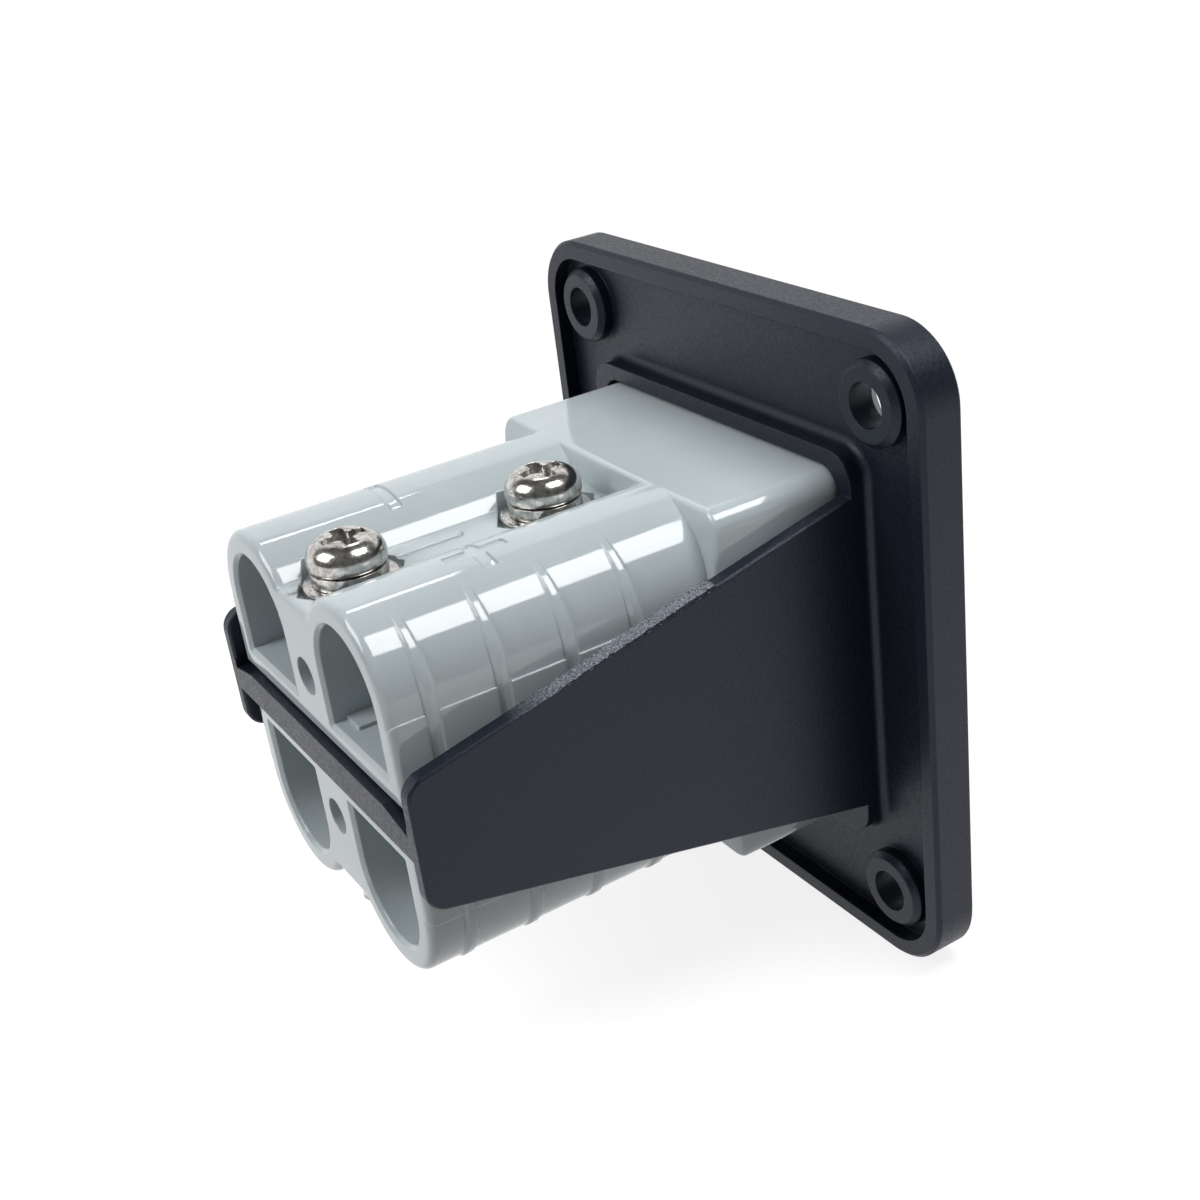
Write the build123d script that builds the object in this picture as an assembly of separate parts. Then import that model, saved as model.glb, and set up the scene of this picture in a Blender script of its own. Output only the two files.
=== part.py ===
from build123d import *
import os
from math import cos, radians, sin, tan

# A flush panel bracket that holds two genderless two-pole power connectors.
# Millimetres. X runs across the panel, Z points up, and Y runs from the
# mating front towards the wires. The rear rim of the plate lies at Y = 0.

# Plate of the bracket
plate_width = 58.7
plate_height = 62.3
plate_thickness = 4.4
plate_corner_radius = 6.5
rim_width = 1.8
dish_depth = 1.6
plate_edge_bevel = 0.35
mount_spacing_x = 45.0
mount_spacing_z = 48.8
mount_hole_diameter = 4.1
countersink_diameter = 8.0
countersink_angle = 90.0
boss_diameter = 7.7
boss_edge_bevel = 0.55

# Collar, cheeks and web of the bracket
web_thickness = 3.2
web_relief_width = 4.4
web_relief_depth = 0.9
cheek_thickness = 1.55
cheek_gap = 0.6
cheek_root_half_height = 15.7
cheek_end_half_height = 5.9
cheek_end_radius = 2.0
cheek_edge_bevel = 0.2
cheek_overhang = 0.7
collar_wall = 1.5
collar_rise = 0.4
collar_corner_radius = 2.8
collar_foot_radius = 0.8
window_clearance = 0.4

# Connector housing, drawn as the upper one with its flat side on the web
housing_width = 36.6
housing_height = 15.9
housing_length = 47.6
housing_front_recess = 0.8
hood_length = 16.4
hood_edge_radius = 2.0
hood_wall = 2.2
hood_rear_wall = 2.1
hood_rear_rake = 0.9
hood_rear_radius = 0.5
shoulder_setback = 2.3
centre_wall = 2.6
mating_clearance = 0.35
tongue_tip_bevel = 0.5
tongue_lip = 2.0
barrel_inset = 0.95
parting_step = 0.15
valley_height = 12.9
valley_fillet = 0.5
rear_rim_radius = 0.8
entry_diameter = 11.2
entry_floor = 2.4
entry_depth = 23.0
entry_edge_bevel = 0.35
ledge_width = 2.6
ledge_height = 0.3
ledge_setback = 1.5
core_hole_diameter = 3.5
core_hole_height = 5.6
core_hole_depth = 2.8
rib_count = 4
rib_pitch = 6.4
rib_inset = 3.9
rib_width = 1.3
rib_height = 0.45
rib_edge_bevel = 0.35
rib_fade_angle = 24.0
rib_foot_height = 1.6
bead_width = 1.2
bead_height = 0.3
bead_length = 16.8
bead_offset = 1.3
bead_setback = 0.4

# Contact, with its blade on the housing's tongue
blade_width = 9.6
blade_thickness = 1.6
blade_tip_setback = 1.3
blade_slope_length = 4.5
blade_hook = 1.0
blade_hook_radius = 0.8
blade_tip_gap = 0.05
blade_side_gap = 0.2
crimp_outer_diameter = 8.4
crimp_inner_diameter = 6.4
crimp_length = 15.0
crimp_seat_gap = 0.5
crimp_hole_depth = 9.5

# Leaf spring under each blade
spring_width = 6.0
spring_thickness = 0.4
spring_length = 18.0
spring_channel = 1.0
spring_pocket_depth = 0.4
spring_gap = 0.05
spring_side_gap = 0.2

# Screws, washers and nuts that clamp both housings to the web
thread_diameter = 4.0
screw_length = 35.0
screw_hole_clearance = 0.4
screw_spacing = 19.4
rear_screw_inset = 5.74
thread_point_bevel = 0.5
head_diameter = 7.0
head_height = 2.6
head_shoulder_radius = 1.7
head_edge_bevel = 0.2
recess_span = 4.1
recess_arm = 1.1
recess_depth = 1.7
recess_taper = 12.0
nut_across_flats = 8.6
nut_height = 3.2
nut_bore_gap = 0.05
nut_edge_bevel = 0.5
pocket_clearance = 0.2
pocket_height = 12.3
flat_washer_diameter = 8.5
flat_washer_thickness = 0.8
flat_washer_bevel = 0.15
spring_washer_diameter = 6.8
spring_washer_thickness = 1.2
washer_bore_clearance = 0.3
washer_split = 0.6
washer_split_angle = 28.0
washer_turn = 35.0

# How far a form reaches into the one it joins, and a cut past the face it opens
overlap = 0.5
margin = 1.0

# Places that several pieces share
plate_front = -plate_thickness
hood_front = plate_front + housing_front_recess
rear_face = hood_front + housing_length
hood_rear = hood_front + hood_length
shoulder = hood_rear - shoulder_setback
flat_side = web_thickness / 2
crest = flat_side + housing_height
parting = flat_side + housing_height / 2
half_width = housing_width / 2
barrel_radius = housing_height / 2
pole_x = half_width - barrel_inset - barrel_radius
entry_radius = entry_diameter / 2
entry_end = rear_face - entry_depth
cheek_inner = half_width + cheek_gap
cheek_outer = cheek_inner + cheek_thickness
bracket_end = rear_face + cheek_overhang
collar_top = crest + window_clearance + collar_wall
screw_places = [rear_face - rear_screw_inset, rear_face - rear_screw_inset - screw_spacing]
screw_hole_diameter = thread_diameter + screw_hole_clearance
pocket_floor = flat_side + pocket_height
pocket_across_flats = nut_across_flats + pocket_clearance
blade_top = parting - spring_gap
blade_bottom = blade_top - blade_thickness
channel_floor = blade_bottom - spring_channel
channel_half_width = blade_width / 2 + blade_side_gap
tongue_tip = hood_front + blade_tip_setback


def between(sketch, y_start, y_end):
    """Solid of a sketch drawn in X and Z, from one depth along Y to another."""
    return extrude(Plane.XZ.offset(-y_end) * sketch, amount=y_end - y_start)


def block(x_low, x_high, y_low, y_high, z_low, z_high):
    """Box between the given limits."""
    size = Box(x_high - x_low, y_high - y_low, z_high - z_low)
    return Pos((x_low + x_high) / 2, (y_low + y_high) / 2, (z_low + z_high) / 2) * size


def upright(radius, x, y, z_low, z_high):
    """Cylinder that stands along Z."""
    return Pos(x, y, (z_low + z_high) / 2) * Cylinder(radius, z_high - z_low)


def along_y(radius, x, z, y_low, y_high):
    """Cylinder that lies along Y."""
    return between(Pos(x, z) * Circle(radius), y_low, y_high)


def rectangle(x_low, x_high, z_low, z_high):
    """Rectangle between the given limits."""
    return Pos((x_low + x_high) / 2, (z_low + z_high) / 2) * Rectangle(x_high - x_low, z_high - z_low)


# Bracket

def mount_points():
    """Centres of the four mounting holes, in X and Z."""
    return [(sx * mount_spacing_x / 2, sz * mount_spacing_z / 2) for sx in (-1, 1) for sz in (-1, 1)]


def dished_plate():
    """Front plate with a raised rim round a shallow dish on its rear."""
    plate = between(RectangleRounded(plate_width, plate_height, plate_corner_radius), plate_front, 0)
    by_depth = plate.edges().group_by(Axis.Y)
    plate = chamfer(by_depth[0] + by_depth[-1], plate_edge_bevel)
    dish = RectangleRounded(plate_width - 2 * rim_width, plate_height - 2 * rim_width,
                            plate_corner_radius - rim_width)
    return plate - between(dish, -dish_depth, margin)


def mounting_boss(x, z):
    """Round pad that brings a mounting hole up to the plate's rim."""
    boss = along_y(boss_diameter / 2, x, z, -dish_depth - overlap, 0)
    return chamfer(boss.edges().group_by(Axis.Y)[-1], boss_edge_bevel)


def collar():
    """Wall round both connector windows."""
    outline = RectangleRounded(2 * cheek_outer, 2 * collar_top, collar_corner_radius)
    return between(outline, -dish_depth - overlap, collar_rise)


def cheek(side):
    """Tapered side wall, with rounded rear corners and broken edges."""
    slope = (cheek_root_half_height - cheek_end_half_height) / (bracket_end - collar_rise)
    start = -dish_depth - overlap
    start_height = cheek_end_half_height + slope * (bracket_end - start)
    corners = [(start, -start_height), (bracket_end, -cheek_end_half_height),
               (bracket_end, cheek_end_half_height), (start, start_height)]
    outline = make_face(Polyline(*corners, close=True))
    outline = fillet(outline.vertices().group_by(Axis.X)[-1], cheek_end_radius)
    wall = Pos(cheek_inner, 0, 0) * extrude(Plane.YZ * outline, amount=cheek_thickness)
    rims = [edge for edge in wall.edges() if edge.center().Y > collar_rise
            and edge.length > cheek_thickness + overlap]
    wall = chamfer(rims, cheek_edge_bevel)
    return wall if side > 0 else mirror(wall, about=Plane.YZ)


def window(side):
    """Opening for one housing and for the connector that plugs into it."""
    low = flat_side - window_clearance
    high = crest + window_clearance
    outline = RectangleRounded(housing_width + 2 * window_clearance, high - low,
                               hood_edge_radius + window_clearance)
    cut = between(Pos(0, (low + high) / 2) * outline, plate_front - margin, collar_rise + margin)
    relief = block(-half_width - window_clearance, half_width + window_clearance,
                   collar_rise, shoulder, low, flat_side + margin)
    cut = cut + relief
    return cut if side > 0 else Rot(0, 180, 0) * cut


def web_relief(side):
    """Shallow slope along the web's upper side, down towards one cheek."""
    top = web_thickness / 2
    inner = cheek_inner - web_relief_width
    over = top + margin
    corners = [(inner, top), (inner, over), (cheek_inner, over), (cheek_inner, top - web_relief_depth)]
    cut = between(make_face(Polyline(*corners, close=True)), collar_rise, bracket_end + margin)
    return cut if side > 0 else mirror(cut, about=Plane.YZ)


def mounting_hole(x, z):
    """Through hole, countersunk from the front for a flat-headed screw."""
    hole = along_y(mount_hole_diameter / 2, x, z, plate_front - margin, margin)
    sink_depth = (countersink_diameter - mount_hole_diameter) / 2 / tan(radians(countersink_angle / 2))
    sink = Pos(x, plate_front + sink_depth / 2, z) * Rot(90, 0, 0) * Cone(
        mount_hole_diameter / 2, countersink_diameter / 2, sink_depth)
    return hole + sink


def panel_bracket():
    """One moulding: plate, collar, cheeks and the web between the housings."""
    body = dished_plate() + collar()
    foot = [edge for edge in body.edges() if abs(edge.center().Y + dish_depth) < collar_foot_radius
            and abs(edge.center().X) < cheek_outer + overlap and abs(edge.center().Z) < collar_top + overlap]
    body = fillet(foot, collar_foot_radius)
    for x, z in mount_points():
        body += mounting_boss(x, z)
    for side in (-1, 1):
        body += cheek(side)
    body += block(-cheek_inner - overlap, cheek_inner + overlap, plate_front, bracket_end,
                  -flat_side, flat_side)
    for side in (-1, 1):
        body -= window(side)
        body -= web_relief(side)
    for x, z in mount_points():
        body -= mounting_hole(x, z)
    for y in screw_places:
        body -= upright(screw_hole_diameter / 2, 0, y, -web_thickness, web_thickness)
    return body


# Connector housing

def barrels():
    """Two humps side by side on a straight-sided base, with a valley between."""
    base = rectangle(-pole_x - barrel_radius - parting_step, pole_x + barrel_radius + parting_step,
                     flat_side, parting)
    middle = rectangle(-pole_x, pole_x, flat_side, flat_side + valley_height)
    section = base + middle
    for side in (-1, 1):
        section += Pos(side * pole_x, parting) * Circle(barrel_radius)
    body = between(section, hood_rear - hood_rear_radius, rear_face)
    inner = [edge for edge in body.edges().filter_by(Axis.Y) if abs(edge.center().X) < pole_x
             and abs(edge.center().Z - flat_side - valley_height) < valley_fillet]
    body = fillet(inner, valley_fillet)
    return fillet(body.edges().group_by(Axis.Y)[-1], rear_rim_radius)


def grip_rib(side, y):
    """Rounded band that rises out of the hump and runs down its outer side."""
    reach = barrel_radius + rib_height
    fade = barrel_radius * sin(radians(rib_fade_angle))
    # A smaller circle, moved outwards just so far that it leaves the hump at the fade angle
    shift = (reach ** 2 - barrel_radius ** 2) / 2 / (reach - fade)
    outline = Pos(pole_x + shift, parting) * Circle(reach - shift)
    outline += rectangle(pole_x + shift, pole_x + reach, flat_side + rib_foot_height, parting)
    band = between(outline, y - rib_width / 2, y + rib_width / 2)
    outer_edges = [edge for edge in band.edges() if edge.center().X > pole_x + shift
                   and abs(edge.center().Y - y) > rib_width / 4]
    band = chamfer(outer_edges, rib_edge_bevel)
    return band if side > 0 else mirror(band, about=Plane.YZ)


def hood_block():
    """Smooth block round the mating end, with a raked rear wall."""
    foot = hood_rear + hood_rear_rake
    corners = [(hood_front, flat_side), (foot, flat_side), (foot, parting), (hood_rear, crest),
               (hood_front, crest)]
    profile = make_face(Polyline(*corners, close=True))
    body = extrude(Plane.YZ * profile, amount=half_width, both=True)
    body = fillet(body.edges().filter_by(Axis.Y), hood_edge_radius)
    rear_edges = [edge for edge in body.edges() if edge.center().Y > hood_rear - hood_rear_radius
                  and edge.center().Z > parting + overlap]
    return fillet(rear_edges, hood_rear_radius)


def wire_entry(side):
    """Arched bore for the wire, flat on its floor, with a low ledge inside."""
    floor = flat_side + entry_floor
    arch = Pos(pole_x, parting) * Circle(entry_radius)
    arch += rectangle(pole_x - entry_radius, pole_x + entry_radius, floor, parting)
    arch = arch & rectangle(0, housing_width, floor, crest)
    cut = between(arch, entry_end, rear_face + margin)
    mouth = Plane.XZ.offset(-rear_face) * offset(arch, amount=entry_edge_bevel)
    cut += extrude(mouth, amount=entry_edge_bevel, taper=45)
    inner = pole_x - entry_radius
    cut -= block(inner - margin, inner + ledge_width, entry_end - margin, rear_face - ledge_setback,
                 floor - margin, floor + ledge_height)
    return cut if side > 0 else mirror(cut, about=Plane.YZ)


def cavity_limits():
    """Inner and outer X of the space inside one half of the hood."""
    return centre_wall / 2, half_width - hood_wall


def mating_space():
    """What is cut from the hood block: one cavity per pole and the open lower half."""
    inner, outer = cavity_limits()
    cavity_top = crest - hood_wall
    cavity_end = hood_rear - hood_rear_wall
    cut = block(-half_width - margin, half_width + margin, hood_front - margin, shoulder,
                flat_side - margin, parting)
    for side in (-1, 1):
        low, high = sorted((side * inner, side * outer))
        cut += block(low, high, hood_front - margin, cavity_end, parting - margin, cavity_top)
    return cut


def tongue(side):
    """Tongue under one blade, with rails at its sides and a lip at its tip."""
    inner, outer = cavity_limits()
    low = inner + mating_clearance
    high = outer - mating_clearance
    under = flat_side + hood_wall + mating_clearance
    body = block(low, high, tongue_tip, shoulder + margin, under, parting - mating_clearance)
    body = chamfer(body.edges().group_by(Axis.Y)[0], tongue_tip_bevel)
    body -= blade_channel()
    return body if side > 0 else mirror(body, about=Plane.YZ)


def blade_channel():
    """Slot for one blade and the spring below it, from the tip to the wire bore."""
    left = pole_x - channel_half_width
    right = pole_x + channel_half_width
    start = tongue_tip + tongue_lip
    pocket_half_width = spring_width / 2 + spring_side_gap
    pocket_end = start + spring_length + 2 * spring_side_gap
    cut = block(left, right, tongue_tip - margin, entry_end + margin, blade_bottom - spring_gap,
                parting + mating_clearance)
    cut += block(left, right, start, entry_end + margin, channel_floor, parting)
    cut += block(pole_x - pocket_half_width, pole_x + pocket_half_width, start, pocket_end,
                 channel_floor - spring_pocket_depth, channel_floor + overlap)
    return cut


def screw_pocket(y):
    """Hexagonal recess and clearance hole for one clamp screw."""
    hexagon = RegularPolygon(pocket_across_flats / 2, 6, major_radius=False, rotation=30)
    recess = extrude(Pos(0, y, pocket_floor) * hexagon, amount=crest - pocket_floor + margin)
    return recess + upright(screw_hole_diameter / 2, 0, y, flat_side - margin, crest)


def valley_bead():
    """Thin round-ended bead along the valley's floor, from the rear screw forwards."""
    top = flat_side + valley_height + bead_height
    slot = SlotOverall(bead_length, bead_width)
    place = Pos(bead_offset, rear_face - bead_length / 2 - bead_setback, top - margin) * Rot(0, 0, 90)
    bead = extrude(place * slot, amount=margin)
    return chamfer(bead.edges().group_by(Axis.Z)[-1], bead_height / 2)


def housing():
    """Two-pole genderless housing, with its flat side down on the web."""
    body = barrels()
    for side in (-1, 1):
        for index in range(rib_count):
            body += grip_rib(side, rear_face - rib_inset - index * rib_pitch)
    body += hood_block()
    body += valley_bead()
    body -= mating_space()
    for side in (-1, 1):
        body += tongue(side)
        channel = blade_channel()
        body -= channel if side > 0 else mirror(channel, about=Plane.YZ)
        body -= wire_entry(side)
    for y in screw_places:
        body -= screw_pocket(y)
    body -= along_y(core_hole_diameter / 2, 0, flat_side + core_hole_height,
                    rear_face - core_hole_depth, rear_face + margin)
    return body


# Contacts and springs

def crimp_neck(y_start, y_end):
    """Eight-sided neck where the round crimp barrel is pressed flat into the blade."""
    corner = blade_thickness / 4
    centre = (blade_bottom + blade_top) / 2
    flat_end = []
    round_end = []
    for quarter, (sx, sz) in enumerate(((1, 1), (-1, 1), (-1, -1), (1, -1))):
        side_point = (pole_x + sx * blade_width / 2, centre + sz * (blade_thickness / 2 - corner))
        face_point = (pole_x + sx * (blade_width / 2 - corner), centre + sz * blade_thickness / 2)
        flat_end += [side_point, face_point] if quarter % 2 == 0 else [face_point, side_point]
    for index in range(8):
        angle = radians(22.5 + 45 * index)
        reach = crimp_outer_diameter / 2
        round_end.append((pole_x + reach * cos(angle), parting + reach * sin(angle)))
    near = [Vector(x, y_start, z) for x, z in flat_end]
    far = [Vector(x, y_end, z) for x, z in round_end]
    loops = [near, far]
    for index in range(8):
        following = (index + 1) % 8
        loops.append([near[index], near[following], far[following], far[index]])
    return Solid(Shell([make_face(Polyline(*loop, close=True)) for loop in loops]))


def contact(side):
    """Flat blade with a hooked tip, drawn from one strip with its crimp barrel."""
    left = pole_x - blade_width / 2
    right = pole_x + blade_width / 2
    tip = tongue_tip - blade_hook - blade_tip_gap
    crimp_start = entry_end + crimp_seat_gap
    barrel_start = crimp_start + blade_slope_length
    crimp_end = crimp_start + crimp_length
    body = block(left, right, tip, crimp_start, blade_bottom, blade_top)
    body += block(left, right, tip, tip + blade_hook, blade_bottom - blade_hook, blade_top)
    front = body.edges().filter_by(Axis.X).group_by(Axis.Y)[0]
    body = fillet(front.group_by(Axis.Z)[-1], blade_hook_radius)
    body += crimp_neck(crimp_start, barrel_start)
    body += along_y(crimp_outer_diameter / 2, pole_x, parting, barrel_start, crimp_end)
    body -= along_y(crimp_inner_diameter / 2, pole_x, parting, crimp_end - crimp_hole_depth,
                    crimp_end + margin)
    return body if side > 0 else mirror(body, about=Plane.YZ)


def contact_spring(side):
    """Bowed strip whose ends rest in the tongue's pocket and whose crest lifts the blade."""
    foot = channel_floor - spring_pocket_depth + spring_gap
    top = blade_bottom - spring_gap
    start = tongue_tip + tongue_lip + spring_side_gap
    middle = start + spring_length / 2
    rise = top - spring_thickness - foot
    under = ThreePointArc((start, foot), (middle, foot + rise), (start + spring_length, foot))
    over = ThreePointArc((start + spring_length, foot + spring_thickness), (middle, top),
                         (start, foot + spring_thickness))
    ends = [Line((start + spring_length, foot), (start + spring_length, foot + spring_thickness)),
            Line((start, foot + spring_thickness), (start, foot))]
    strip = extrude(Plane.YZ * make_face([under, ends[0], over, ends[1]]), amount=spring_width)
    strip = Pos(pole_x - spring_width / 2, 0, 0) * strip
    return strip if side > 0 else mirror(strip, about=Plane.YZ)


# Fasteners

def clamp_screw(y):
    """Pan-headed machine screw with a cross recess."""
    seat = pocket_floor + flat_washer_thickness + spring_washer_thickness
    top = seat + head_height
    head = upright(head_diameter / 2, 0, y, seat, top)
    head = chamfer(head.edges().group_by(Axis.Z)[0], head_edge_bevel)
    head = fillet(head.edges().group_by(Axis.Z)[-1], head_shoulder_radius)
    cross = Rectangle(recess_span, recess_arm) + Rectangle(recess_arm, recess_span)
    recess = extrude(Pos(0, y, top) * cross, amount=-recess_depth, taper=recess_taper)
    shank = upright(thread_diameter / 2, 0, y, seat - screw_length, seat + overlap)
    shank = chamfer(shank.edges().group_by(Axis.Z)[0], thread_point_bevel)
    return head + shank - recess


def flat_washer(y):
    """Plain ring on the floor of the upper pocket."""
    ring = upright(flat_washer_diameter / 2, 0, y, pocket_floor, pocket_floor + flat_washer_thickness)
    ring = chamfer(ring.edges().group_by(Axis.Z)[-1], flat_washer_bevel)
    bore = (thread_diameter + washer_bore_clearance) / 2
    return ring - upright(bore, 0, y, pocket_floor - margin, pocket_floor + flat_washer_thickness + margin)


def spring_washer(y):
    """Split ring between the flat washer and the screw head."""
    low = pocket_floor + flat_washer_thickness
    high = low + spring_washer_thickness
    ring = upright(spring_washer_diameter / 2, 0, y, low, high)
    ring -= upright((thread_diameter + washer_bore_clearance) / 2, 0, y, low - margin, high + margin)
    split = Box(washer_split, spring_washer_diameter / 2, 4 * spring_washer_thickness)
    split = Pos(0, spring_washer_diameter / 2, 0) * Rot(0, washer_split_angle, 0) * split
    return ring - Pos(0, y, (low + high) / 2) * Rot(0, 0, washer_turn) * split


def clamp_nut(y):
    """Hexagon nut held from turning by the lower housing's pocket."""
    outer_face = -pocket_floor - nut_height
    corner_radius = nut_across_flats / 2 / cos(radians(30))
    hexagon = RegularPolygon(nut_across_flats / 2, 6, major_radius=False, rotation=30)
    body = extrude(Pos(0, y, outer_face) * hexagon, amount=nut_height)
    turned = upright(corner_radius, 0, y, outer_face, -pocket_floor)
    body = body & chamfer(turned.edges().group_by(Axis.Z)[0], nut_edge_bevel)
    bore = thread_diameter / 2 + nut_bore_gap
    return body - upright(bore, 0, y, outer_face - margin, -pocket_floor + margin)


def each_screw(make):
    """The same fastener at both screw places, as a group of separate solids."""
    return Compound([solid for y in screw_places for solid in make(y).solids()])


def turned_under(shape):
    """The same piece turned half round the connector's long axis, under the web."""
    return Rot(0, 180, 0) * shape


def build_nodes():
    """Every separate piece, by its name."""
    nodes = {
        "panel_bracket": panel_bracket(),
        "upper_housing": housing(),
        "clamp_screws": each_screw(clamp_screw),
        "spring_washers": each_screw(spring_washer),
        "flat_washers": each_screw(flat_washer),
        "clamp_nuts": each_screw(clamp_nut),
    }
    nodes["lower_housing"] = turned_under(nodes["upper_housing"])
    for pole, side in (("positive", -1), ("negative", 1)):
        nodes[f"upper_{pole}_contact"] = contact(side)
        nodes[f"upper_{pole}_spring"] = contact_spring(side)
        nodes[f"lower_{pole}_contact"] = turned_under(contact(side))
        nodes[f"lower_{pole}_spring"] = turned_under(contact_spring(side))
    return nodes


os.makedirs("parts", exist_ok=True)
for name, shape in build_nodes().items():
    export_step(shape, f"parts/{name}.step")
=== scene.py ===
"""Dresses the dual connector panel socket and sets it in a small product studio.

Lengths in the dataclasses are millimetres, because that is how the object is measured.
The scene is in metres.
"""

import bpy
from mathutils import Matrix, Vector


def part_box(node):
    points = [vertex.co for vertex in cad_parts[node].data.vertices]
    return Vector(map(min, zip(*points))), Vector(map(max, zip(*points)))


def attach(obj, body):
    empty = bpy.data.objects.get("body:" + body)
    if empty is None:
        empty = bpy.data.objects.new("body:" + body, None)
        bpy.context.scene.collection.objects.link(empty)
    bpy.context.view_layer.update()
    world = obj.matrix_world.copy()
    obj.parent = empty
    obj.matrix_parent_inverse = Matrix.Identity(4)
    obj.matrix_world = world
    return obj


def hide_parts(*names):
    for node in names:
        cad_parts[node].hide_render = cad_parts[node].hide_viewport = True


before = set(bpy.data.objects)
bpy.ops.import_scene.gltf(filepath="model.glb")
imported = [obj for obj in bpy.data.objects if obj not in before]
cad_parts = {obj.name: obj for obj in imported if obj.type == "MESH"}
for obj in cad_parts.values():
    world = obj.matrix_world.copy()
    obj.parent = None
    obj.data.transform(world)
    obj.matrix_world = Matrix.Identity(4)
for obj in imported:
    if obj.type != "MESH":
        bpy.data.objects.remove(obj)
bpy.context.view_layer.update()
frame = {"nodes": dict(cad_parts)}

import logging
import math
from dataclasses import dataclass, field
from enum import Enum
from typing import Any, Callable, Optional, Sequence

import bmesh
import bpy
from mathutils import Matrix, Quaternion, Vector

logging.basicConfig(level=logging.INFO, format="%(message)s")
log = logging.getLogger("panel_socket")

MM = 0.001
WHITE = "#FFFFFF"

# Sockets of a Mix node that is set to colour, which its names don't tell apart.
MIX_FACTOR, MIX_FIRST, MIX_SECOND, MIX_RESULT = 0, 6, 7, 2

# Nearly all values of a noise lie between these two.
NOISE_LOW, NOISE_HIGH = 0.3, 0.7

Colour = tuple[float, float, float, float]


# Helpers

def linear(code: str) -> Colour:
    """Turns an sRGB hex colour into linear values by the sRGB curve.

    Args:
        code: Six hex digits after a hash sign.

    Returns:
        Linear red, green and blue, and an alpha of one.
    """
    channels = [int(code[i:i + 2], 16) / 255 for i in (1, 3, 5)]
    values = [c / 12.92 if c <= 0.04045 else ((c + 0.055) / 1.055) ** 2.4 for c in channels]
    return (values[0], values[1], values[2], 1.0)


def per_mm(size_mm: float) -> float:
    """Returns the texture scale at which one feature is size_mm long, in metres."""
    return 1.0 / (size_mm * MM)


def direction(azimuth: float, elevation: float) -> Vector:
    """Finds the unit vector from the object to a place.

    Args:
        azimuth: Degrees round the object, 0 being in front, at -Y, and 90 at +X.
        elevation: Degrees above the horizon.

    Returns:
        The unit vector.
    """
    a, e = math.radians(azimuth), math.radians(elevation)
    return Vector((math.sin(a) * math.cos(e), -math.cos(a) * math.cos(e), math.sin(e)))


def add_node(tree: bpy.types.NodeTree, kind: str, inputs: Optional[dict[Any, Any]] = None,
             **settings: Any) -> bpy.types.Node:
    """Adds one shader node.

    Args:
        tree: The node tree that takes it.
        kind: The node's type name.
        inputs: Socket names or numbers, each with a value or an output socket to link from.
        **settings: Properties of the node itself.

    Returns:
        The new node.
    """
    node = tree.nodes.new(kind)
    for name, value in settings.items():
        setattr(node, name, value)
    for socket, value in (inputs or {}).items():
        if isinstance(value, bpy.types.NodeSocket):
            tree.links.new(value, node.inputs[socket])
        else:
            node.inputs[socket].default_value = value
    return node


def empty_material(name: str) -> tuple[bpy.types.Material, bpy.types.NodeTree]:
    """Makes a material whose node tree is empty."""
    material = bpy.data.materials.new(name)
    material.use_nodes = True
    material.node_tree.nodes.clear()
    return material, material.node_tree


# Modelling by hand

class Grip(Enum):
    """What a selection in edit mode takes hold of."""

    FACE = "FACE"
    EDGE = "EDGE"
    CORNER = "VERT"


class Cut(Enum):
    """What is left of a solid after another has cut it."""

    OUTSIDE = "DIFFERENCE"
    SHARED = "INTERSECT"


@dataclass(frozen=True)
class SoftEdge:
    """A small bevel: its width in millimetres, its steps, and how sharp an edge is that gets it."""

    width: float
    steps: int
    from_degrees: float


# Takes a middle or corner in millimetres, and the face's normal or the edge's line.
Test = Callable[[Vector, Vector], bool]

NEAR = 0.01  # millimetres to a height, or rise of a line, that counts as none
LEVEL = 0.99  # least share along Z of the normal of a level face
AXIS_REACH = 0.1  # millimetres to the Z axis that count as none
END_CORNERS = 8  # most corners of a coil's open end


def everything(place: Vector, way: Vector) -> bool:
    """Passes all of a piece."""
    return True


def on_axis(place: Vector) -> bool:
    """Tells whether a place is on the Z axis."""
    return math.hypot(place.x, place.y) < AXIS_REACH


def clear_selection() -> None:
    """Leaves edit mode with nothing selected, so that an operator meets only the next piece."""
    if bpy.context.mode != "OBJECT":
        bpy.ops.object.mode_set(mode="OBJECT")
    bpy.ops.object.select_all(action="DESELECT")


def take(piece: bpy.types.Object) -> None:
    """Makes a piece the only selected and active one."""
    clear_selection()
    piece.select_set(True)
    bpy.context.view_layer.objects.active = piece


def apply_place(piece: bpy.types.Object) -> None:
    """Moves a piece's place, turn and scale into its mesh, so that it sits at the origin."""
    take(piece)
    bpy.ops.object.transform_apply(location=True, rotation=True, scale=True)


def pick(piece: bpy.types.Object, grip: Grip, test: Test) -> None:
    """Opens a piece in edit mode and selects what passes a test.

    Args:
        piece: The piece to open.
        grip: Whether faces, edges or corners are tested.
        test: The test.
    """
    if bpy.context.mode != "EDIT_MESH":
        take(piece)
        bpy.ops.object.mode_set(mode="EDIT")
    bpy.ops.mesh.select_mode(type=grip.value)
    bpy.ops.mesh.select_all(action="DESELECT")
    mesh = bmesh.from_edit_mesh(piece.data)
    if grip is Grip.FACE:
        found = [(face, face.calc_center_median(), face.normal) for face in mesh.faces]
    elif grip is Grip.EDGE:
        found = [(edge, (edge.verts[0].co + edge.verts[1].co) / 2,
                  (edge.verts[1].co - edge.verts[0].co).normalized()) for edge in mesh.edges]
    else:
        found = [(corner, corner.co, Vector()) for corner in mesh.verts]
    for element, place, way in found:
        if test(place / MM, way):
            element.select_set(True)
    bmesh.update_edit_mesh(piece.data)


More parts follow.
